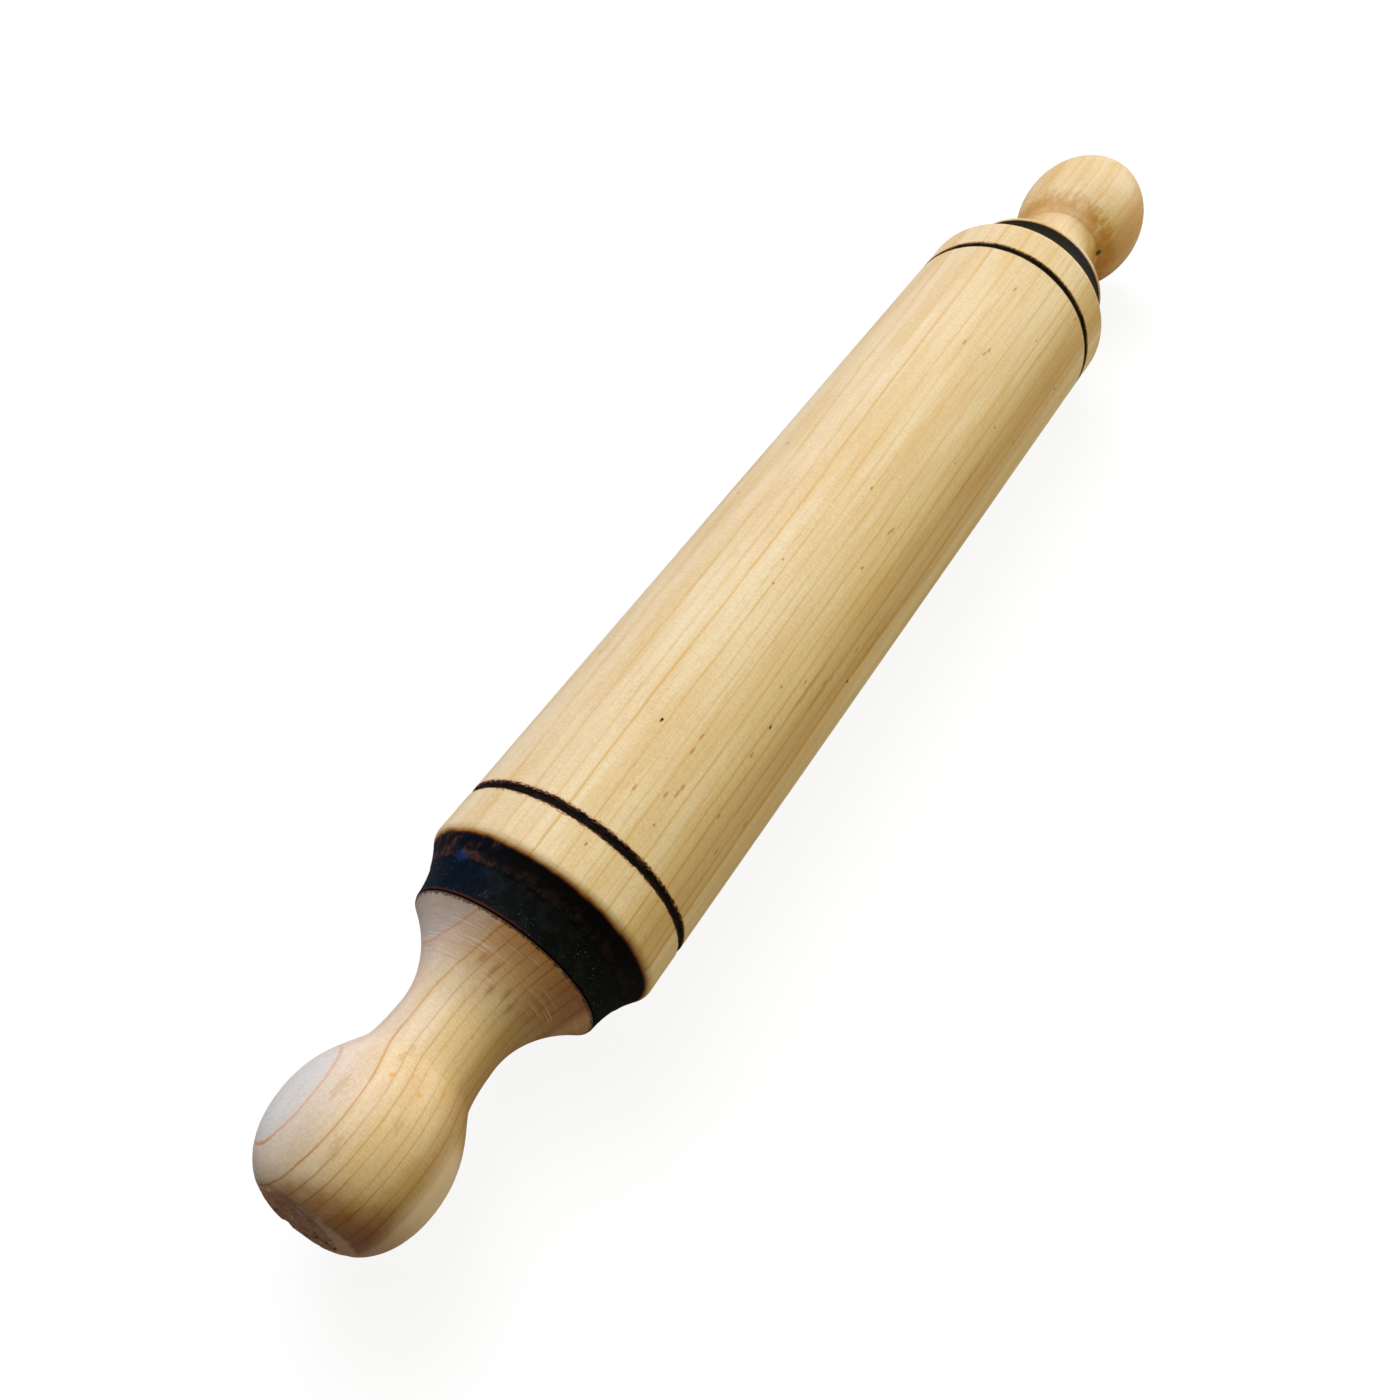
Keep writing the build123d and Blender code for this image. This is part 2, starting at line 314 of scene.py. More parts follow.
def turned_mesh(name, places, end_grain, tips=()):
    """The mesh of a grid of places, rows along the outline and columns round the axis. Each row
    joins the next by quads. Without tips the last row joins the first, and with two tips a fan
    of triangles closes each end. End grain is a number for each row, kept for the finish."""
    rows, turns = places.shape[:2]
    row = np.arange(rows if not len(tips) else rows - 1)[:, None]
    turn = np.arange(turns)[None, :]
    next_row, next_turn = (row + 1) % rows, (turn + 1) % turns
    corners = (
        row * turns + turn,
        row * turns + next_turn,
        next_row * turns + next_turn,
        next_row * turns + turn,
    )
    faces = np.stack(np.broadcast_arrays(*corners), -1).reshape(-1, 4).tolist()
    points = places.reshape(-1, 3)
    end_grain = np.repeat(end_grain, turns)
    if len(tips):
        first, last = len(points), len(points) + 1
        ring, next_ring = turn[0], next_turn[0]
        final = (rows - 1) * turns
        start_fan = np.stack([np.full(turns, first), next_ring, ring], -1)
        end_fan = np.stack([final + ring, final + next_ring, np.full(turns, last)], -1)
        faces += start_fan.tolist() + end_fan.tolist()
        points = np.vstack([points, tips])
        end_grain = np.append(end_grain, [1.0, 1.0])
    mesh = bpy.data.meshes.new(name)
    mesh.from_pydata((points * METRES).tolist(), [], faces)
    mesh.polygons.foreach_set("use_smooth", np.ones(len(faces), bool))
    mesh.set_sharp_from_angle(angle=math.radians(sharp_from))
    mesh.attributes.new("end_grain", "FLOAT", "POINT").data.foreach_set("value", end_grain)
    mesh.update()
    piece = bpy.data.objects.new(name, mesh)
    bpy.context.scene.collection.objects.link(piece)
    return piece


def carried_round(outline, turns):
    """The outline's points (along the axis, radius) carried round the axis: the grid of places,
    and the direction that points away from the axis at each of them."""
    angle = np.arange(turns) * (2 * math.pi / turns)
    along, radius = outline[:, :1], outline[:, 1:2]
    outward = np.stack([np.zeros(turns), np.cos(angle), np.sin(angle)], -1)
    places = radius[..., None] * outward[None]
    places[..., 0] += along
    return places, outward[None]


def end_grain_of(outline):
    """How far each point of an outline shows the ends of the fibres: 0 where the surface runs
    along the axis and 1 where it stands across it."""
    slope = np.gradient(outline[:, :2], axis=0)
    return np.abs(slope[:, 1]) / np.maximum(np.hypot(slope[:, 0], slope[:, 1]), 1e-9)


def skin_marked(points, is_skin):
    """Outline points with a third number: 1 on the skin that shows, 0 in the bores."""
    return np.column_stack([points, np.full(len(points), float(is_skin))])


def barrel_outline(side):
    """Half of the barrel's outline, in out and radius: the straight side, the burned line's
    stretch in fine steps, the rounded edge, the cove, the end face, the bearing's seat and the
    bore, back to the middle."""
    end, end_radius = barrel_ends[side], band_end_radii[side]
    line_reach = 1.4 * line_width
    line_start, line_end = line_at - line_reach, line_at + line_reach
    band_top = (band_at, barrel_radius - edge_drop)
    seat_floor = end - bearing_seat_depth
    skin = np.vstack(
        [
            straight((0, barrel_radius), (line_start, barrel_radius), side_points),
            straight((line_start, barrel_radius), (line_end, barrel_radius), line_points)[1:],
            straight((line_end, barrel_radius), (edge_at, barrel_radius), 10)[1:],
            turned_curve((edge_at, barrel_radius), band_top, edge_shares, edge_points)[1:],
            turned_curve(band_top, (end, end_radius), cove_shares, cove_points)[1:],
        ]
    )
    bores = np.vstack(
        [
            straight((end, end_radius - face_rim), (end, bearing_seat_radius), 6),
            straight((seat_floor, bearing_seat_radius), (seat_floor, axle_bore_radius), 2),
            [(0, axle_bore_radius)],
        ]
    )
    return np.vstack([skin_marked(skin, True), skin_marked(bores, False)])


def mirrored(outline):
    """The outline on the other side of the middle, run through backwards."""
    return (outline * (-1, 1, 1))[::-1]


def burned_line(places, side):
    """Depth of a burned line: a round-bottomed groove that wanders a little, with an edge that
    is ragged along the turn, and a crust."""
    wander = line_wander * cloud(places, 9.0, seed=11 + side)
    half = line_width / 2 + line_wander * cloud(places, (0.5, 1.8, 1.8), seed=21 + side)
    across = (places[..., 0] - side * line_at + wander) / half
    groove = np.clip(1 - across**2, 0, 1)
    crust = line_crust * cloud(places, (0.4, 2.0, 2.0), seed=31 + side)
    return (line_depth + crust) * groove**0.8


def blackened_cove(places, side):
    """Height of the charred crust: streaks along the grain in the upper stroke, whose ragged
    foot stands a little above the smooth lower stroke."""
    out = side * places[..., 0]
    burned = smooth_step(out, edge_at + 0.6, band_at + 0.8)
    foot = band_ridge_at + 0.35 * cloud(places, (2.0, 3.0, 3.0), seed=61 + side)
    upper = burned * (1 - smooth_step(out, foot - 0.1, foot + 0.25))
    streaks = cloud(places, (5.0, 1.5, 1.5), seed=41 + side)
    flakes = cloud(places, 1.7, seed=51 + side)
    crust = char_sunk + char_streaks * streaks + char_flakes * flakes
    return upper * crust - char_sunk * burned


def barrel_piece():
    """The barrel: its outline carried round the axis, with the sanded hollows and the burned
    lines cut inwards from it and the char's crust standing on it."""
    outline = np.vstack([barrel_outline(RIGHT)[:-1], mirrored(barrel_outline(LEFT))[:-1]])
    places, outward = carried_round(outline, barrel_columns)
    skin = outline[:, 2:3]
    straight_share = 1 - smooth_step(np.abs(places[..., 0]), edge_at - 4, edge_at)
    hollows = barrel_hollows * (1 + cloud(places, (34.0, 16.0, 16.0), seed=3))
    height = -hollows * straight_share
    for side in (LEFT, RIGHT):
        height = height - burned_line(places, side) + blackened_cove(places, side)
    places = places + (height * skin)[..., None] * outward
    return turned_mesh("turned_barrel", places, end_grain_of(outline))


def handle_outline(side):
    """A handle's outline, in out and radius, from the floor of the rod's hole to the middle of
    the end: the bores, the face, the flare, the neck and the ball."""
    face, tip, sizes = handle_faces[side], handle_tips[side], handle_sizes[side]
    neck, foot, ball = ((face + place, size) for place, size in
                        (sizes["neck"], sizes["foot"], sizes["ball"]))
    collar = (face, collar_radii[side])
    land = [(face + place, collar_radii[side] - drop) for place, drop in collar_lands[side]]
    rim = np.array([collar, *land])
    end = (tip, tip_radius)
    bores = np.array(
        [
            (face + rod_hole_depth, rod_hole_radius),
            (face + insert_depth, rod_hole_radius),
            (face + insert_depth, insert_seat_radius),
            (face + flange_depth, insert_seat_radius),
            (face + flange_depth, flange_seat_radius),
            (face, flange_seat_radius),
            (face, (flange_seat_radius + collar[1]) / 2),
            (face, collar[1] - face_rim),
        ]
    )
    skin = np.vstack(
        [
            rim,
            turned_curve(rim[-1], neck, flare_shares, flare_points)[1:],
            turned_curve(neck, foot, neck_shares, neck_points)[1:],
            turned_curve(foot, ball, sizes["front_shares"], ball_front_points)[1:],
            turned_curve(ball, end, sizes["back_shares"], ball_back_points)[1:],
            straight(end, (tip, 0.4), 6)[1:],
        ]
    )
    return np.vstack([skin_marked(bores, False), skin_marked(skin, True)])


def planed(places, cuts):
    """Flats left by a knife: what stands past a flat's plane is pressed back onto it. A cut is a
    direction and how far out along it the plane lies."""
    for direction, reach in cuts:
        direction = np.array(direction) / np.linalg.norm(direction)
        past = places @ direction - reach
        places = places - np.clip(past, 0, None)[..., None] * direction
    return places


def handle_piece(name, side, cuts):
    """A handle: its outline carried round the axis, with hollows and fine turning marks cut
    inwards, flats at the parted end, and torn grain between them."""
    outline = handle_outline(side)
    outline = mirrored(outline) if side == LEFT else outline
    places, outward = carried_round(outline, handle_columns)
    skin = outline[:, 2:3]
    out = np.abs(places[..., 0])
    off_collar = smooth_step(out, handle_faces[side] + 0.2, handle_faces[side] + 1.5)
    radius = np.hypot(places[..., 1], places[..., 2])
    hollows = handle_hollows * (1 + cloud(places, 13.0, seed=71 + side))
    marks = turning_mark_depth * (1 + cloud(places, (0.7, 9.0, 9.0), seed=81 + side))
    torn = smooth_step(out, handle_tips[side] - torn_start, handle_tips[side] - torn_full)
    height = -(hollows + marks * off_collar) * smooth_step(radius, 2, 6)
    places = places + (height * skin)[..., None] * outward
    places = planed(places, cuts)
    tears = tear_depth * np.abs(cloud(places, (3.0, 3.4, 2.2), seed=91 + side, layers=4))
    places[..., 0] -= side * (tears + torn_back) * torn * skin
    tips = [places[0].mean(0), places[-1].mean(0)]
    return turned_mesh(name, places, end_grain_of(outline), tips)


# The knife's flats on the balls: which way each one faces, and how far out it lies
left_cuts = (
    ((-0.987, -0.056, 0.15), 205.4),
    ((-0.93, -0.25, 0.2), 198.9),
    ((-1.0, 0.42, 0.3), 192.9),
    ((-1.0, 0.1, -0.5), 187.2),
)
right_cuts = (
    ((1.0, -0.25, 0.3), 199.5),
    ((1.0, 0.3, -0.25), 199.8),
)

barrel = barrel_piece()
left_handle = handle_piece("turned_left_handle", LEFT, left_cuts)
right_handle = handle_piece("turned_right_handle", RIGHT, right_cuts)


def shade(red, green, blue):
    """A colour as it is seen, from 0 to 255, as the linear colour that a finish takes."""
    seen = np.array([red, green, blue]) / 255
    linear = np.where(seen <= 0.04045, seen / 12.92, ((seen + 0.055) / 1.055) ** 2.4)
    return (*linear.tolist(), 1.0)


# Shades of the marks in all the wood
grit_brown = shade(198, 154, 92)
fibre_pale = shade(255, 247, 226)
pore_brown = shade(178, 126, 56)
fleck_brown = shade(172, 112, 34)

# Shades of the burned lines
fringe_dun = shade(172, 142, 116)
fringe_ochre = shade(150, 104, 26)
fringe_brown = shade(116, 60, 38)
line_glow = shade(220, 176, 118)
line_black = shade(6, 5, 4)
line_brown = shade(62, 36, 26)

# Shades of the blackened bands, from their scorched start to the parting
scorch_glow = shade(230, 180, 104)
scorch_left = shade(196, 128, 46)
scorch_right = shade(214, 184, 160)
scorch_brown = shade(86, 36, 14)
upper_black = shade(9, 7, 6)
# A painted cool reflection on the char's lit side
upper_painted_sheen = shade(9, 14, 25)
rust_dull = shade(40, 29, 24)
# Rust on the side the lamps light, painted brighter as painted light
rust_painted_lit = shade(90, 58, 48)
lower_black = shade(8, 10, 10)
# A painted cool reflection on the lower stroke's lit side
lower_painted_sheen = shade(3, 16, 30)
mottle_grey = shade(24, 30, 29)
# A painted cool reflection on the mottles of the lit side
mottle_painted_sheen = shade(13, 34, 50)
speck_grey = shade(120, 128, 116)
fleck_blue = shade(0, 54, 108)
right_black = shade(22, 20, 8)
right_brown = shade(40, 34, 17)
parting_red = shade(72, 34, 28)

# Shades of the barrel's stains, and the tint of its browner band, deepened as painted shade
smudge_orange = shade(240, 198, 124)
stain_tan = shade(196, 140, 60)
stain_brown = shade(196, 130, 42)
knot_brown = shade(72, 26, 6)
# A browner band between two rings, deepened as painted shade on the side turned from the lamps
barrel_band_shade_tint = shade(238, 228, 208)

# Shades of the left handle: its near side, then its pink and its grey far side
left_pale = shade(248, 220, 176)
left_yellow = shade(240, 206, 138)
left_deep = shade(236, 202, 148)
left_line = shade(200, 140, 60)
left_glow = shade(226, 180, 122)
pink_pale = shade(244, 225, 205)
pink_deep = shade(236, 214, 194)
pink_line = shade(222, 160, 116)
pink_glow = shade(240, 214, 194)
grey_pale = shade(234, 229, 222)
grey_deep = shade(225, 218, 212)
shaded_tint = shade(216, 204, 188)
# Painted light: floor bounce on the left ball's lower rim
bounce_light_pale = shade(252, 230, 208)
flare_orange = shade(250, 208, 160)
flare_pink = shade(255, 232, 220)
# Grime and painted shade for the left ball's end
grime_and_shade_tint = shade(206, 166, 136)
scratch_brown = shade(130, 84, 56)
scratch_pale = shade(250, 236, 216)
resin_orange = shade(238, 170, 72)
grime_brown = shade(190, 140, 50)
flare_brown = shade(176, 112, 44)
chip_tan = shade(212, 146, 104)
chip_pale = shade(246, 214, 188)
chip_dark = shade(96, 54, 36)
facet_orange = shade(242, 184, 132)
left_fringe = shade(84, 40, 28)

# Shades of the right handle
yellow_tint = shade(253, 248, 232)
# Painted shade for the right handle's side turned from the lamps
right_side_shade_tint = shade(234, 208, 170)
neck_ring_tan = shade(202, 140, 32)
end_grain_tint = shade(252, 230, 196)
# A painted highlight on the right collar's rim
arc_highlight_white = shade(230, 220, 214)
fleck_green = shade(38, 62, 28)
rim_tint = shade(232, 212, 180)
right_fringe = shade(96, 66, 26)


class Finish:
    """A material being made: each method adds one step to it and returns what it gives."""

    def __init__(self, name):
        self.material = bpy.data.materials.new(name)
        self.material.use_nodes = True
        self.nodes = self.material.node_tree.nodes
        self.links = self.material.node_tree.links
        self.nodes.clear()
        place = self.add("ShaderNodeTexCoord").outputs["Object"]
        self.place = self.vector("MULTIPLY", place, (1 / METRES,) * 3)

    def add(self, kind, inputs=None, **settings):
        """One step of the given kind, with its settings, and its inputs by name or number."""
        node = self.nodes.new(kind)
        for name, value in settings.items():
            setattr(node, name, value)
        for socket, value in (inputs or {}).items():
            if isinstance(value, bpy.types.NodeSocket):
                self.links.new(value, node.inputs[socket])
            else:
                node.inputs[socket].default_value = value
        return node

    def math(self, operation, *values, clamp=False):
        """A number worked out of others by one operation, kept from 0 to 1 if clamped."""
        inputs = dict(enumerate(values))
        node = self.add("ShaderNodeMath", inputs, operation=operation, use_clamp=clamp)
        return node.outputs[0]

    def vector(self, operation, *values):
        """A place, or a number for a dot product or a length, worked out of places."""
        node = self.add("ShaderNodeVectorMath", dict(enumerate(values)), operation=operation)
        number = operation in ("DOT_PRODUCT", "LENGTH")
        return node.outputs["Value" if number else "Vector"]

    def scaled(self, value, factor, shift, clamp=False):
        """The value times the factor plus the shift, kept from 0 to 1 if clamped."""
        return self.math("MULTIPLY_ADD", value, factor, shift, clamp=clamp)

    def less(self, value, taken):
        """The value less what is taken from it."""
        return self.math("SUBTRACT", value, taken)

    def larger(self, first, second):
        """The larger of two numbers."""
        return self.math("MAXIMUM", first, second)

    def sum(self, *values):
        """All the values added up."""
        total = values[0]
        for value in values[1:]:
            total = self.math("ADD", total, value)
        return total

    def product(self, *values):
        """All the values multiplied."""
        total = values[0]
        for value in values[1:]:
            total = self.math("MULTIPLY", total, value)
        return total

    def joined(self, x, y, z):
        """A place made of three numbers."""
        return self.add("ShaderNodeCombineXYZ", {0: x, 1: y, 2: z}).outputs[0]

    def parts(self, place):
        """The three numbers of a place."""
        return self.add("ShaderNodeSeparateXYZ", {0: place}).outputs

    def rise(self, value, low, high):
        """0 at low and 1 at high, with a smooth rise, which falls if low is above high."""
        start, stop = 0.0, 1.0
        if low > high:
            low, high, start, stop = high, low, 1.0, 0.0
        inputs = {"Value": value, "From Min": low, "From Max": high,
                  "To Min": start, "To Max": stop}
        node = self.add("ShaderNodeMapRange", inputs, interpolation_type="SMOOTHSTEP")
        return node.outputs["Result"]

    def noise(self, place, size, detail, roughness=0.5):
        """Noise from 0 to 1 about the middle value 0.5. Size is three lengths, along each axis,
        detail how many finer layers it has and roughness how strong each is beside the last."""
        scaled = self.vector("DIVIDE", place, size)
        inputs = {"Vector": scaled, "Scale": 1.0, "Detail": detail, "Roughness": roughness}
        return self.add("ShaderNodeTexNoise", inputs).outputs["Fac"]

    def cells(self, place, size):
        """Scattered cells: the distance from each one's middle, and a random colour for each."""
        scaled = self.vector("DIVIDE", place, size)
        node = self.add("ShaderNodeTexVoronoi", {"Vector": scaled, "Scale": 1.0})
        return node.outputs["Distance"], node.outputs["Color"]

    def swing(self, noise, reach):
        """Noise made a number from about -reach to reach."""
        return self.scaled(noise, 4 * reach, -2 * reach)

    def wander(self, reach, *noise):
        """Noise from about -reach to reach, given by its place, its size and its layers."""
        return self.swing(self.noise(*noise), reach)

    def end_grain(self):
        """How far each place shows the ends of the fibres."""
        return self.add("ShaderNodeAttribute", attribute_name="end_grain").outputs["Fac"]

    def blend(self, amount, first, second, kind="MIX"):
        """A colour between two, or one laid over another in the given way."""
        inputs = {0: amount, 6: first, 7: second}
        node = self.add("ShaderNodeMix", inputs, data_type="RGBA", blend_type=kind)
        return node.outputs[2]

    def painted(self, colour, paint, *shares):
        """The colour with paint over it, as strong as the product of the shares."""
        return self.blend(self.product(*shares), colour, paint)

    def tinted(self, colour, tint, *shares):
        """The colour with a tint multiplied into it, as strong as the product of the shares."""
        return self.painted(colour, self.blend(1.0, colour, tint, "MULTIPLY"), *shares)

    def read_off(self, value, pairs):
        """What a line through pairs of value and result gives, level beyond its ends."""
        values, results = zip(*pairs)
        first, reach = values[0], values[-1] - values[0]
        low, span = min(results), max(results) - min(results)
        share = self.scaled(value, 1 / reach, -first / reach, clamp=True)
        node = self.add("ShaderNodeFloatCurve", {"Value": share})
        line = node.mapping.curves[0]
        places = [((x - first) / reach, (y - low) / span) for x, y in pairs]
        line.points[0].location, line.points[-1].location = places[0], places[-1]
        for place in places[1:-1]:
            line.points.new(*place)
        for point in line.points:
            point.handle_type = "VECTOR"
        node.mapping.update()
        return self.scaled(node.outputs[0], span, low)

    def spots(self, place, ragged, middles, reach, softness):
        """1 inside small patches of one reach round their middles, 0 outside, ragged between."""
        nearest = 9.0
        for middle in middles:
            off = self.vector("DIVIDE", self.vector("SUBTRACT", place, middle), reach)
            nearest = self.math("MINIMUM", nearest, self.vector("LENGTH", off))
        return self.rise(self.sum(nearest, ragged), 1 + softness, 1 - softness)

    def stained(self, colour, paint, strength, *spots, place=None):
        """The colour with paint of some strength on the spots, which are given by their ragged
        noise, their middles, their reach and their softness."""
        place = self.place if place is None else place
        return self.painted(colour, paint, self.spots(place, *spots), strength)

    def done(self, colour, roughness, height, height_reach, uniform):
        """Closes the finish: its surface takes the colour, the roughness, the height, whose
        reach is in millimetres, and the numbers that are the same all over it."""
        bump = self.add("ShaderNodeBump", {"Height": height, "Strength": 1.0,
                                           "Distance": height_reach * METRES})
        surface = self.add("ShaderNodeBsdfPrincipled", {"Base Color": colour,
                                                        "Roughness": roughness,
                                                        "Normal": bump.outputs[0]} | uniform)
        self.add("ShaderNodeOutputMaterial", {"Surface": surface.outputs[0]})
        return self.material


def grain_place(wood):
    """A place along the grain, across the rings and along them, and where it is among the
    rings once their climb and their wander are taken out."""
    along = wood.parts(wood.place)[0]
    across = wood.vector("DOT_PRODUCT", wood.place, ring_direction)
    beside = wood.vector("DOT_PRODUCT", wood.place, ring_side)
    grain = wood.joined(along, across, beside)
    climb = wood.read_off(along, ring_climb)
    broad = wood.wander(broad_wander, grain, broad_wander_size, 1.0)
    fine = wood.wander(fine_wander, grain, fine_wander_size, 2.0)
    ring_place = wood.sum(across, climb, broad, fine)
    near = wood.larger(wood.less(ring_place, spread_past), 0.0)
    far = wood.math("MINIMUM", wood.sum(ring_place, spread_past), 0.0)
    near_spread = wood.product(near, wood.rise(along, -50.0, 20.0), -spread_on_barrel)
    far_spread = wood.product(far, wood.rise(along, -150.0, -175.0), -spread_on_handle)
    return grain, wood.sum(ring_place, near_spread, far_spread)


def ring_marks(wood, grain, ring_place, which):
    """How dark the rings make each place: a thin line at each ring, fainter here and there along
    its length, and a slow darkening towards it that ends at the line."""
    numbered = list(enumerate(rings))
    number = wood.read_off(ring_place, [(ring[0], k) for k, ring in numbered])
    whole = wood.math("FLOOR", number)
    part = wood.less(number, whole)
    ahead = wood.sum(whole, 1.0)
    gaps = [(k, rings[k][0] - rings[k - 1][0]) for k, _ in numbered[1:]]
    gap = wood.read_off(ahead, gaps)
    before = wood.product(wood.less(1.0, part), gap)
    behind = wood.product(part, gap)
    darkness = [(k, ring[which]) for k, ring in numbered]
    next_dark, last_dark = wood.read_off(ahead, darkness), wood.read_off(whole, darkness)
    fading = wood.rise(wood.noise(grain, line_fading_size, 2.0), 0.3, 0.62)
    fading = wood.scaled(fading, 0.5, 0.5)
    width = ring_line_width * (left_line_share if which == on_left_handle else 1.0)
    line = wood.larger(
        wood.product(wood.rise(before, line_before * width, 0.1), next_dark),
        wood.product(wood.rise(behind, line_behind * width, 0.0), last_dark),
    )
    glow = wood.larger(
        wood.product(wood.rise(before, glow_before * ring_line_width, 0.0), next_dark),
        wood.product(wood.rise(behind, glow_behind * ring_line_width, 0.0), last_dark),
    )
    if which == on_barrel:
        along = wood.parts(grain)[0]
        fainter = wood.scaled(wood.rise(along, -20.0, 60.0), -0.35, 1.0)
        fading = wood.product(fading, fainter)
    return wood.product(line, fading), glow


def bare_wood(wood, grain, ring_place, which, pale, deep, line_colour, glow_colour, marked,
              lined):
    """Bare wood: mottled between two colours, with the ring marks as strong as lined says,
    fibres, fuzz and faint sanding marks across them, and short pores and a few flecks, as strong
    as marked says. Returns its colour and height."""
    line, glow = ring_marks(wood, grain, ring_place, which)
    mottle = wood.rise(wood.noise(grain, mottle_size, 3.0), 0.36, 0.66)
    colour = wood.blend(mottle, pale, deep)
    colour = wood.painted(colour, glow_colour, glow, 0.35)
    colour = wood.painted(colour, line_colour, line, lined)
    fibres = wood.noise(grain, fibre_size, 3.0, 0.6)
    fuzz = wood.noise(grain, fuzz_size, 2.0, 0.6)
    sanding = wood.noise(grain, sanding_size, 1.0)
    grit = wood.sum(wood.swing(fibres, 0.12), wood.swing(fuzz, 0.15), wood.swing(sanding, 0.1))
    colour = wood.painted(colour, grit_brown, wood.math("ADD", grit, 0.08, clamp=True))
    light_grit = wood.scaled(grit, -0.9, -0.04, clamp=True)
    colour = wood.painted(colour, fibre_pale, light_grit)
    pores = wood.noise(grain, pore_size, 1.0)
    patches = wood.noise(grain, pore_patch_size, 2.0)
    pores = wood.product(wood.rise(pores, 0.66, 0.74), wood.rise(patches, 0.42, 0.62))
    colour = wood.painted(colour, pore_brown, pores, 0.2 * marked)
    distance, pick = wood.cells(grain, fleck_spacing)
    chosen = wood.rise(wood.parts(pick)[0], 0.86, 0.89)
    fleck = wood.product(wood.rise(distance, 0.12, 0.06), chosen)
    colour = wood.painted(colour, fleck_brown, fleck, 0.7 * marked)
    height = wood.sum(wood.product(fibres, 0.5), wood.product(fuzz, 0.5), wood.product(line, 0.15),
                      wood.product(pores, -0.6 * marked), wood.product(fleck, -1.0 * marked))
    return colour, height


def burned_lines(wood, colour):
    """The burned lines over the wood: a black core, a brown fringe that is ragged along the
    turn, and a faint glow. Returns the colour and how far each place is in a line."""
    along = wood.parts(wood.place)[0]
    out = wood.math("ABSOLUTE", along)
    on_far_line = wood.rise(along, -1.0, 1.0)
    ragged = wood.wander(0.62, wood.place, (0.35, 0.9, 0.9), 3.0, 0.75)
    ragged = wood.product(ragged, wood.scaled(on_far_line, -0.5, 1.0))
    wavy = wood.wander(0.12, wood.place, (4.0, 6.0, 6.0), 2.0)
    off_line = wood.math("ABSOLUTE", wood.less(out, line_at))
    off_line = wood.sum(off_line, ragged, wavy)
    beyond = wood.rise(out, line_at - 0.2, line_at + 0.2)
    far_fringe = wood.blend(beyond, fringe_dun, fringe_ochre)
    fringe = wood.blend(on_far_line, fringe_brown, far_fringe)
    colour = wood.painted(colour, line_glow, wood.rise(off_line, 2.1, 1.2), 0.5)
    colour = wood.painted(colour, fringe, wood.rise(off_line, 1.5, 1.15))
    core = wood.rise(off_line, 1.2, 0.8)
    strokes = wood.noise(wood.place, (0.22, 4.0, 4.0), 2.0)
    char = wood.blend(wood.rise(strokes, 0.56, 0.7), line_black, line_brown)
    return wood.blend(core, colour, char), core


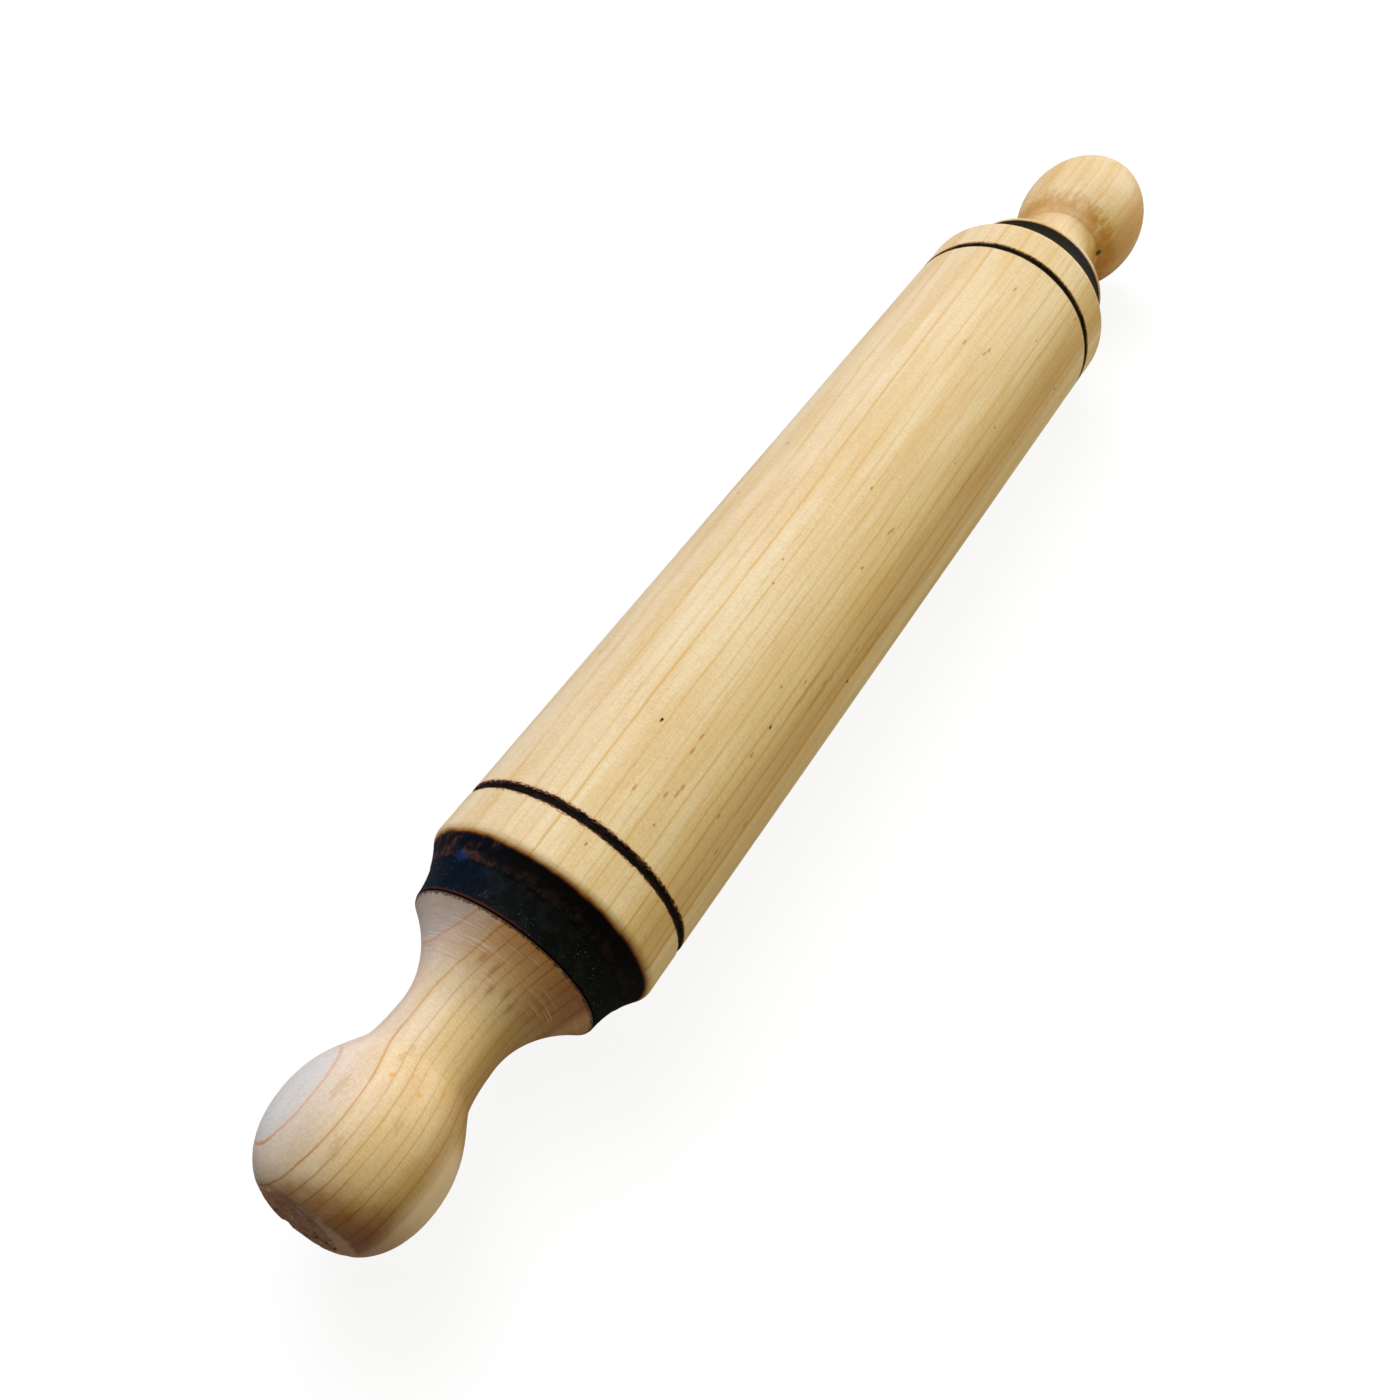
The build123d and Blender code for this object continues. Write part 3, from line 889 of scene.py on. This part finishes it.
def blackened_bands(wood, colour):
    """The scorched edges and the charred coves over the wood, with a painted cool reflection, and
    rust painted brighter, on the side the lamps light. Returns the colour, how far each place is
    burned, and how far it is in the smooth lower stroke."""
    along, beside, _ = wood.parts(wood.place)
    out = wood.math("ABSOLUTE", along)
    wavy = wood.wander(0.16, wood.place, (3.0, 4.0, 4.0), 3.0)
    on_right_end = wood.rise(along, -1.0, 1.0)
    start = wood.scaled(wood.math("SIGN", along), 0.4, char_at)
    past = wood.sum(wood.less(out, start), wavy)
    colour = wood.painted(colour, scorch_glow, wood.rise(past, -2.0, -0.9), 0.2)
    scorched = wood.blend(on_right_end, scorch_left, scorch_right)
    colour = wood.painted(colour, scorched, wood.rise(past, -1.05, -0.35))
    colour = wood.painted(colour, scorch_brown, wood.rise(past, -0.5, -0.1))
    burned = wood.rise(past, -0.2, 0.2)
    # The side the lamps light: a painted cool reflection and rust painted brighter; rust also
    # gathers more there
    sheen_and_rust_side = wood.product(wood.rise(beside, -2.0, 14.0), wood.rise(along, 1.0, -1.0))
    to_ridge = wood.rise(out, band_at + 0.6, band_ridge_at - 0.8)
    lean = wood.sum(along, wood.product(beside, 0.35))
    leaning = wood.joined(lean, beside, wood.parts(wood.place)[2])
    streaks = wood.noise(leaning, (3.2, 0.7, 0.7), 4.0, 0.7)
    patches = wood.noise(leaning, (4.0, 4.0, 4.0), 3.0, 0.6)
    patches = wood.sum(patches, wood.product(sheen_and_rust_side, 0.07), wood.product(to_ridge, 0.14))
    rusty = wood.product(wood.rise(streaks, 0.34, 0.66), wood.rise(patches, 0.54, 0.72))
    black = wood.blend(sheen_and_rust_side, upper_black, upper_painted_sheen)
    rust = wood.blend(sheen_and_rust_side, rust_dull, rust_painted_lit)
    upper = wood.blend(rusty, black, rust)
    cloudy = wood.noise(wood.place, (4.0, 4.0, 4.0), 5.0, 0.7)
    blue = wood.blend(sheen_and_rust_side, lower_black, lower_painted_sheen)
    mottled = wood.blend(sheen_and_rust_side, mottle_grey, mottle_painted_sheen)
    lower = wood.blend(wood.rise(cloudy, 0.44, 0.72), blue, mottled)
    specks = wood.noise(wood.place, (0.5, 0.4, 0.4), 1.0)
    speck_patches = wood.rise(wood.noise(wood.place, (7.0, 7.0, 7.0), 1.0), 0.4, 0.6)
    specks = wood.product(wood.rise(specks, 0.65, 0.76), speck_patches, 0.55)
    lower = wood.painted(lower, speck_grey, specks)
    foot = wood.wander(0.4, wood.place, (1.2, 2.0, 2.0), 3.0)
    below = wood.rise(wood.sum(out, foot), band_ridge_at - 0.3, band_ridge_at + 0.3)
    char = wood.blend(below, upper, lower)
    blue_noise = wood.swing(streaks, 1.0)
    char = wood.stained(char, fleck_blue, 0.7, blue_noise, blue_flecks, (1.1, 1.9, 1.3), 0.5)
    right_char = wood.blend(wood.rise(streaks, 0.36, 0.64), right_black, right_brown)
    char = wood.painted(char, right_char, on_right_end)
    edge_noise = wood.wander(0.3, wood.place, (0.5, 1.4, 1.4), 3.0, 0.6)
    red_edge = wood.product(
        wood.rise(wood.sum(out, edge_noise), edge_burn_at + 0.3, edge_burn_at + 0.8),
        wood.rise(beside, -16.0, 4.0),
    )
    char = wood.painted(char, parting_red, red_edge)
    return wood.blend(burned, colour, char), burned, below, streaks


def barrel_finish():
    """The barrel's wood, with its burned lines and blackened bands."""
    wood = Finish("barrel_wood")
    grain, ring_place = grain_place(wood)
    colour, height = bare_wood(
        wood, grain, ring_place, on_barrel, pale=shade(249, 225, 182), deep=shade(240, 208, 155),
        line_colour=shade(223, 173, 86), glow_colour=shade(240, 198, 134), marked=1.0, lined=0.9,
    )
    along = wood.parts(wood.place)[0]
    paler_from = wood.scaled(wood.rise(along, -40.0, 30.0), -2.4, ring_place)
    # A browner band between two rings, deepened as painted shade on the side turned from the lamps
    browner_shaded_side = wood.product(wood.rise(ring_place, 6.0, 14.0), wood.rise(paler_from, 20.0, 18.8))
    colour = wood.tinted(colour, barrel_band_shade_tint, browner_shaded_side)
    ragged = wood.wander(0.5, grain, (0.6, 0.3, 0.3), 2.0)
    smudged = wood.wander(0.6, grain, (2.5, 0.8, 0.8), 2.0)
    colour = wood.stained(colour, smudge_orange, 0.35, smudged, on_skin(pale_smudges),
                          (5.0, 0.8, 0.8), 0.9)
    colour = wood.stained(colour, stain_tan, 0.5, smudged, on_skin(stained_lines), (8.0, 0.5, 0.5),
                          0.9)
    colour = wood.stained(colour, stain_brown, 0.75, ragged, on_skin(brown_stains), (0.9, 0.3, 0.3),
                          0.7)
    knots = wood.spots(wood.place, ragged, on_skin(dark_knots), (0.6, 0.3, 0.3), 0.3)
    colour = wood.painted(colour, knot_brown, knots)
    colour, in_line = burned_lines(wood, colour)
    colour, burned, below, streaks = blackened_bands(wood, colour)
    rough_char = wood.less(burned, wood.product(burned, below))
    crust = wood.product(wood.larger(in_line, rough_char), streaks, 3.0)
    height = wood.sum(height, crust)
    charred = wood.larger(wood.larger(in_line, burned), knots)
    roughness = wood.scaled(charred, 0.16, 0.5)
    shine = wood.scaled(charred, -0.14, 0.2)
    return wood.done(colour, roughness, height, wood_relief, {"Specular IOR Level": shine})


def turning_scratches(wood, out, first, last):
    """Fine scratches round the axis between two places: pale ones and shallower dark ones."""
    _, y, z = wood.parts(wood.place)
    radius = wood.vector("LENGTH", wood.joined(0.0, y, z))
    round_place = wood.joined(wood.sum(out, wood.product(radius, 0.6)), y, z)
    here = wood.product(wood.rise(out, first, first + 1.5), wood.rise(out, last, last - 4.0))
    patches = wood.rise(wood.noise(wood.place, (6.0, 9.0, 9.0), 2.0), 0.34, 0.56)
    pale = wood.noise(round_place, (0.17, 11.0, 11.0), 1.0)
    pale = wood.product(wood.rise(pale, 0.54, 0.7), here, patches)
    dark = wood.noise(round_place, (0.3, 14.0, 14.0), 2.0)
    return pale, wood.product(wood.rise(dark, 0.5, 0.75), here)


def burned_fringe(wood, out, side, reach, ragged):
    """The thin ragged line along a handle's edge, where it meets the black band."""
    place = wood.sum(out, wood.wander(ragged, wood.place, (0.5, 1.0, 1.0), 3.0))
    return wood.rise(place, handle_faces[side] + reach, handle_faces[side] + 0.1)


def handled_wood(wood, colour, height):
    """Closes a handle's wood. Its roughness is 0.46 and a little more where it stands higher."""
    roughness = wood.scaled(height, 0.06, 0.46)
    shine = {"Specular IOR Level": wood_shine}
    return wood.done(colour, roughness, height, wood_relief, shine)


def left_handle_finish():
    """The left handle's wood: greyer and pinker on its far side, brown where the ends of the
    fibres show, with painted shade on the side turned from the lamps, a pale strip painted as
    floor bounce light on the ball's lower rim, an end darker with grime and painted shade,
    turning scratches on the flare, specks of resin on the ball and torn grain at the end."""
    wood = Finish("left_handle_wood")
    along, y, z = wood.parts(wood.place)
    out = wood.product(along, -1.0)
    grain, ring_place = grain_place(wood)
    pinkish = wood.wander(2.0, grain, (14.0, 5.0, 7.0), 3.0)
    pinkish = wood.rise(wood.sum(ring_place, pinkish), -4.0, -10.0)
    far_side = wood.rise(ring_place, -12.2, -13.2)
    pinkest = wood.product(wood.rise(ring_place, -13.0, -18.0), 0.45)
    pink = wood.scaled(pinkish, 0.2, wood.scaled(far_side, 0.35, pinkest))
    grey = wood.rise(ring_place, -17.6, -18.3)
    yellow = wood.noise(grain, (16.0, 6.0, 8.0), 3.0)
    yellow = wood.scaled(wood.rise(out, 182.0, 192.0), 0.1, yellow)
    pale = wood.blend(wood.rise(yellow, 0.5, 0.72), left_pale, left_yellow)
    pale = wood.painted(pale, pink_pale, pink)
    deep = wood.blend(pink, left_deep, pink_deep)
    pale = wood.painted(pale, grey_pale, grey)
    deep = wood.painted(deep, grey_deep, grey)
    line_colour = wood.blend(pink, left_line, pink_line)
    glow_colour = wood.blend(pink, left_glow, pink_glow)
    on_flare = wood.rise(out, flare_marks_to + 2.0, flare_marks_to - 4.0)
    browned = wood.product(wood.rise(wood.end_grain(), 0.35, 0.9), on_flare)
    darker_lines = wood.sum(wood.product(browned, wood.rise(y, 2.0, -8.0)),
                            wood.product(wood.rise(out, 194.0, 202.0), 0.8))
    lined = wood.scaled(darker_lines, 0.7, 0.9)
    colour, height = bare_wood(wood, grain, ring_place, on_left_handle, pale, deep, line_colour,
                               glow_colour, marked=0.3, lined=lined)
    # Painted light: a pale strip of floor bounce on the ball's lower right rim, where the painted
    # shade and the darker end give way
    bounce_strip = wood.product(wood.rise(out, 176.0, 184.0), wood.rise(ring_place, 8.0, 12.0))
    shaded = wood.product(wood.rise(ring_place, -3.0, 10.0), wood.rise(ring_place, 17.5, 14.0),
                          wood.less(1.0, bounce_strip))
    colour = wood.tinted(colour, shaded_tint, shaded)
    # The pale rim is painted floor bounce light
    painted_bounce_edge = wood.larger(wood.rise(ring_place, 14.5, 17.5), bounce_strip)
    colour = wood.painted(colour, bounce_light_pale, painted_bounce_edge, 0.6)
    flare_tint = wood.blend(far_side, flare_orange, flare_pink)
    colour = wood.tinted(colour, flare_tint, browned)
    # The ball's end darker: grime, and painted shade where it turns from the lamps towards the
    # floor
    grime_and_shade_wander = wood.wander(2.2, wood.place, (7.0, 6.0, 6.0), 3.0)
    grime_and_shade_edge = wood.sum(out, grime_and_shade_wander, wood.product(ring_place, 0.25))
    grime_and_shade = wood.product(wood.rise(grime_and_shade_edge, grime_and_shade_from, grime_and_shade_from + 9.0),
                           wood.rise(ring_place, -15.0, -10.0), wood.rise(ring_place, 20.0, 13.0),
                           wood.scaled(bounce_strip, -0.5, 1.0))
    colour = wood.tinted(colour, grime_and_shade_tint, grime_and_shade)
    pale_scratch, dark_scratch = turning_scratches(wood, out, flare_marks_from, flare_marks_to)
    colour = wood.painted(colour, scratch_brown, dark_scratch, 0.14)
    colour = wood.painted(colour, scratch_pale, pale_scratch, 0.36)
    ragged = wood.wander(0.45, grain, (0.7, 0.5, 0.5), 2.0)
    dirty = wood.wander(1.3, grain, (1.2, 0.5, 0.5), 3.0)
    colour = wood.stained(colour, resin_orange, 0.75, ragged, resin_specks, (0.7, 0.55, 0.55), 0.5)
    colour = wood.stained(colour, grime_brown, 0.3, dirty, ball_smudges, (1.6, 0.9, 0.9), 0.6)
    colour = wood.stained(colour, flare_brown, 0.5, ragged, flare_smudges, (1.2, 0.6, 9.0), 0.9,
                          place=grain)
    torn_noise = wood.noise(wood.place, (1.3, 2.0, 1.3), 4.0, 0.6)
    torn_edge = wood.sum(out, wood.swing(torn_noise, 0.4), wood.product(y, -0.05))
    torn = wood.rise(torn_edge, torn_from - 0.3, torn_from + 0.3)
    radius = wood.vector("LENGTH", wood.joined(0.0, y, z))
    facet = wood.product(wood.rise(wood.sum(radius, wood.swing(torn_noise, 0.5)), 8.6, 9.2),
                         wood.rise(y, 1.0, -2.5))
    chips = wood.blend(wood.rise(torn_noise, 0.58, 0.68), chip_tan, chip_pale)
    chips = wood.painted(chips, chip_dark, wood.rise(torn_noise, 0.44, 0.36))
    chips = wood.painted(chips, facet_orange, facet)
    colour = wood.painted(colour, chips, torn, 0.85)
    fringe = burned_fringe(wood, out, LEFT, 0.55, 0.3)
    colour = wood.painted(colour, left_fringe, fringe, 0.85)
    height = wood.sum(height, wood.product(pale_scratch, -0.5),
                      wood.product(torn, wood.less(1.0, facet), torn_noise, 6.0))
    return handled_wood(wood, colour, height)


def right_handle_finish():
    """The right handle's wood: a tan ring where the ball leaves the neck, stronger on its right
    side, with streaks along the grain, painted shade on the side turned from the lamps, a
    painted pale highlight arc on the collar and one dark green fleck."""
    wood = Finish("right_handle_wood")
    grain, ring_place = grain_place(wood)
    colour, height = bare_wood(
        wood, grain, ring_place, on_right_handle, pale=shade(249, 224, 180),
        deep=shade(239, 203, 148), line_colour=shade(228, 174, 102),
        glow_colour=shade(230, 184, 118), marked=0.3, lined=0.6,
    )
    yellower = wood.rise(ring_place, -3.0, -11.0)
    colour = wood.tinted(colour, yellow_tint, yellower)
    # Painted shade: darker and browner on the side turned from the lamps
    browner_shaded_side = wood.rise(ring_place, 6.0, 16.0)
    colour = wood.tinted(colour, right_side_shade_tint, browner_shaded_side)
    out, y, z = wood.parts(wood.place)
    foot = handle_faces[RIGHT] + handle_sizes[RIGHT]["foot"][0]
    on_right = wood.rise(y, 0.0, -12.0)
    streaks = wood.wander(2.2, grain, (9.0, 1.1, 1.6), 3.0, 0.6)
    patchy = wood.noise(wood.place, (4.0, 3.0, 3.0), 3.0)
    past = wood.sum(wood.less(out, foot), streaks)
    on_ball = wood.rise(out, foot + 0.2, foot + 2.6)
    on_neck = wood.product(wood.rise(out, foot - 7.0, foot), on_right, 0.8)
    # A darker tan ring where the ball leaves the neck, stronger on its right side
    tan_ring = wood.product(wood.larger(on_ball, on_neck), wood.rise(past, 8.5, 3.0),
                           wood.rise(patchy, 0.2, 0.55))
    strength = wood.scaled(on_right, 0.25, 0.6)
    colour = wood.painted(colour, neck_ring_tan, tan_ring, strength)
    shown = wood.rise(wood.end_grain(), 0.45, 0.95)
    colour = wood.tinted(colour, end_grain_tint, shown)
    ragged = wood.wander(0.4, grain, (0.7, 0.5, 0.5), 2.0)
    # A painted highlight: a pale arc on the collar's rim
    arc = wood.product(
        wood.rise(out, handle_faces[RIGHT] + 0.6, handle_faces[RIGHT] + 1.1),
        wood.rise(out, handle_faces[RIGHT] + 2.6, handle_faces[RIGHT] + 2.0),
        wood.rise(y, -9.0, -14.0),
        wood.rise(z, 12.5, 15.5),
    )
    colour = wood.painted(colour, arc_highlight_white, arc, 0.85)
    colour = wood.stained(colour, fleck_green, 0.9, ragged, green_flecks, (3.2, 0.6, 0.8), 0.4)
    rim = wood.product(wood.rise(out, handle_faces[RIGHT] + 1.3, handle_faces[RIGHT] + 0.8),
                       wood.less(1.0, arc))
    colour = wood.tinted(colour, rim_tint, rim)
    fringe = burned_fringe(wood, out, RIGHT, 0.5, 0.25)
    colour = wood.painted(colour, right_fringe, fringe, 0.8)
    return handled_wood(wood, colour, height)


def dress(piece, body, node, material):
    """A finished wooden piece stands for its node, rides on its body and takes its slot."""
    piece.data.materials.append(material)
    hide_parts(node)
    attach(piece, body)


dress(barrel, "barrel", "barrel", barrel_finish())
dress(left_handle, "handles", "left_handle", left_handle_finish())
dress(right_handle, "handles", "right_handle", right_handle_finish())


def metal_finish(name, colour, worn_colour, roughness, metallic=1.0):
    """Turned metal: fine rings round the axis, and a duller bloom here and there."""
    metal = Finish(name)
    x, y, z = metal.parts(metal.place)
    radius = metal.vector("LENGTH", metal.joined(0.0, y, z))
    rings_place = metal.joined(x, radius, 0.0)
    rings_noise = metal.noise(rings_place, (0.12, 0.12, 1.0), 2.0)
    bloom = metal.noise(metal.place, (3.0, 3.0, 3.0), 3.0)
    mixed = metal.blend(metal.rise(bloom, 0.4, 0.7), colour, worn_colour)
    rough = metal.scaled(bloom, 0.2, roughness - 0.1)
    return metal.done(mixed, rough, rings_noise, 0.01, {"Metallic": metallic})


hardware_finishes = {
    "rod_steel": metal_finish("rod_steel", shade(188, 190, 193), shade(166, 167, 170), 0.32),
    "bearing_steel": metal_finish("bearing_steel", shade(200, 202, 205), shade(180, 182, 186), 0.2),
    "shield_steel": metal_finish("shield_steel", shade(178, 181, 186), shade(160, 163, 168), 0.35),
    "cage_nylon": metal_finish("cage_nylon", shade(60, 62, 58), shade(78, 80, 74), 0.55, 0.0),
    "brass": metal_finish("brass", shade(214, 176, 96), shade(188, 150, 76), 0.34),
}
slot_by_node = {
    "axle_rod": "rod_steel",
    "jam_nut": "rod_steel",
    "spacer_washer": "rod_steel",
    "bearing_outer_ring": "bearing_steel",
    "bearing_inner_ring": "bearing_steel",
    "bearing_balls": "bearing_steel",
    "bearing_cage": "cage_nylon",
    "bearing_front_shield": "shield_steel",
    "bearing_back_shield": "shield_steel",
    "threaded_insert": "brass",
}
for node_name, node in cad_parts.items():
    kind = node_name.removeprefix("left_").removeprefix("right_")
    if kind in slot_by_node:
        node.data.materials.clear()
        node.data.materials.append(hardware_finishes[slot_by_node[kind]])


def shader(tree, kind, **inputs):
    """A shader in a tree, with its inputs by name."""
    node = tree.nodes.new(kind)
    for name, value in inputs.items():
        node.inputs[name].default_value = value
    return node


def show_apart(tree, for_light, for_camera, output_kind):
    """Ends a tree: light meets the first shader and the camera sees the second."""
    light_path = tree.nodes.new("ShaderNodeLightPath")
    choice = tree.nodes.new("ShaderNodeMixShader")
    output = tree.nodes.new(output_kind)
    tree.links.new(light_path.outputs["Is Camera Ray"], choice.inputs[0])
    tree.links.new(for_light.outputs[0], choice.inputs[1])
    tree.links.new(for_camera.outputs[0], choice.inputs[2])
    tree.links.new(choice.outputs[0], output.inputs["Surface"])


# Floor: pale, and white to the camera but for the pin's soft shadow
floor_at = cad_low.z
floor_half = 4.0  # metres
floor_mesh = bpy.data.meshes.new("table_top")
floor_mesh.from_pydata(
    [(x * floor_half, y * floor_half, floor_at) for x, y in ((-1, -1), (1, -1), (1, 1), (-1, 1))],
    [],
    [(0, 1, 2, 3)],
)
floor = bpy.data.objects.new("table_top", floor_mesh)
bpy.context.scene.collection.objects.link(floor)
floor_material = bpy.data.materials.new("table_white")
floor_material.use_nodes = True
tree = floor_material.node_tree
tree.nodes.clear()
bounce = shader(tree, "ShaderNodeBsdfDiffuse", Color=(0.4, 0.39, 0.39, 1))
shadowed = shader(tree, "ShaderNodeBsdfDiffuse", Color=(0.13, 0.13, 0.13, 1))
glow = shader(tree, "ShaderNodeEmission", Strength=0.9)
seen = tree.nodes.new("ShaderNodeAddShader")
tree.links.new(shadowed.outputs[0], seen.inputs[0])
tree.links.new(glow.outputs[0], seen.inputs[1])
show_apart(tree, bounce, seen, "ShaderNodeOutputMaterial")
floor_mesh.materials.append(floor_material)


def soft_light(name, turn, rise, size, strength, colour):
    """A square soft light that faces the pin's middle: turn is its direction from +X towards +Y
    and rise its height, in degrees, and size is in metres. Strength 1 shows a surface that faces
    it as it is written: the energy is the square of pi times the distance."""
    turn, rise = math.radians(turn), math.radians(rise)
    direction = (
        math.cos(rise) * math.cos(turn),
        math.cos(rise) * math.sin(turn),
        math.sin(rise),
    )
    data = bpy.data.lights.new(name, "AREA")
    data.energy = strength * (math.pi * light_distance) ** 2
    data.size, data.color = size, colour
    light = bpy.data.objects.new(name, data)
    light.location = [light_distance * part for part in direction]
    light.rotation_euler = (math.pi / 2 - rise, 0, turn + math.pi / 2)
    bpy.context.scene.collection.objects.link(light)


light_distance = 1.6  # metres
soft_light("window", 56, 56, 1.0, 0.91, (0.79, 0.78, 1.0))
soft_light("skylight", 60, 78, 1.0, 0.37, (0.88, 1.0, 0.69))
soft_light("warm_fill", -54, 18, 0.9, 0.29, (1.0, 0.97, 0.3))
soft_light("side_fill", -88, 6, 0.9, 0.1, (1.0, 0.6, 0.4))
soft_light("cool_fill", -20, 12, 0.9, 0.28, (0.59, 0.62, 1.0))

world = bpy.data.worlds.new("room")
world.use_nodes = True
room = world.node_tree
room.nodes.clear()
room_light = shader(room, "ShaderNodeBackground", Color=(1.0, 0.97, 0.93, 1), Strength=0.03)
backdrop = shader(room, "ShaderNodeBackground", Strength=1.0)
show_apart(room, room_light, backdrop, "ShaderNodeOutputWorld")
bpy.context.scene.world = world

# Camera
view_place = (-0.238828, -0.112169, 0.285194)  # metres
view_turn = 58.047  # degrees from +Y towards +X
view_drop = 52.956  # degrees below the horizon
view_lens = 36.53
camera_data = bpy.data.cameras.new("photo_view")
camera_data.lens = view_lens
camera_data.sensor_width = 36.0  # millimetres, like the lens
camera_data.clip_start = 0.01
camera = bpy.data.objects.new("photo_view", camera_data)
camera.location = view_place
camera.rotation_euler = (math.radians(90 - view_drop), 0, math.radians(-view_turn))
bpy.context.scene.collection.objects.link(camera)
bpy.context.scene.camera = camera
bpy.context.scene.view_settings.view_transform = "Standard"
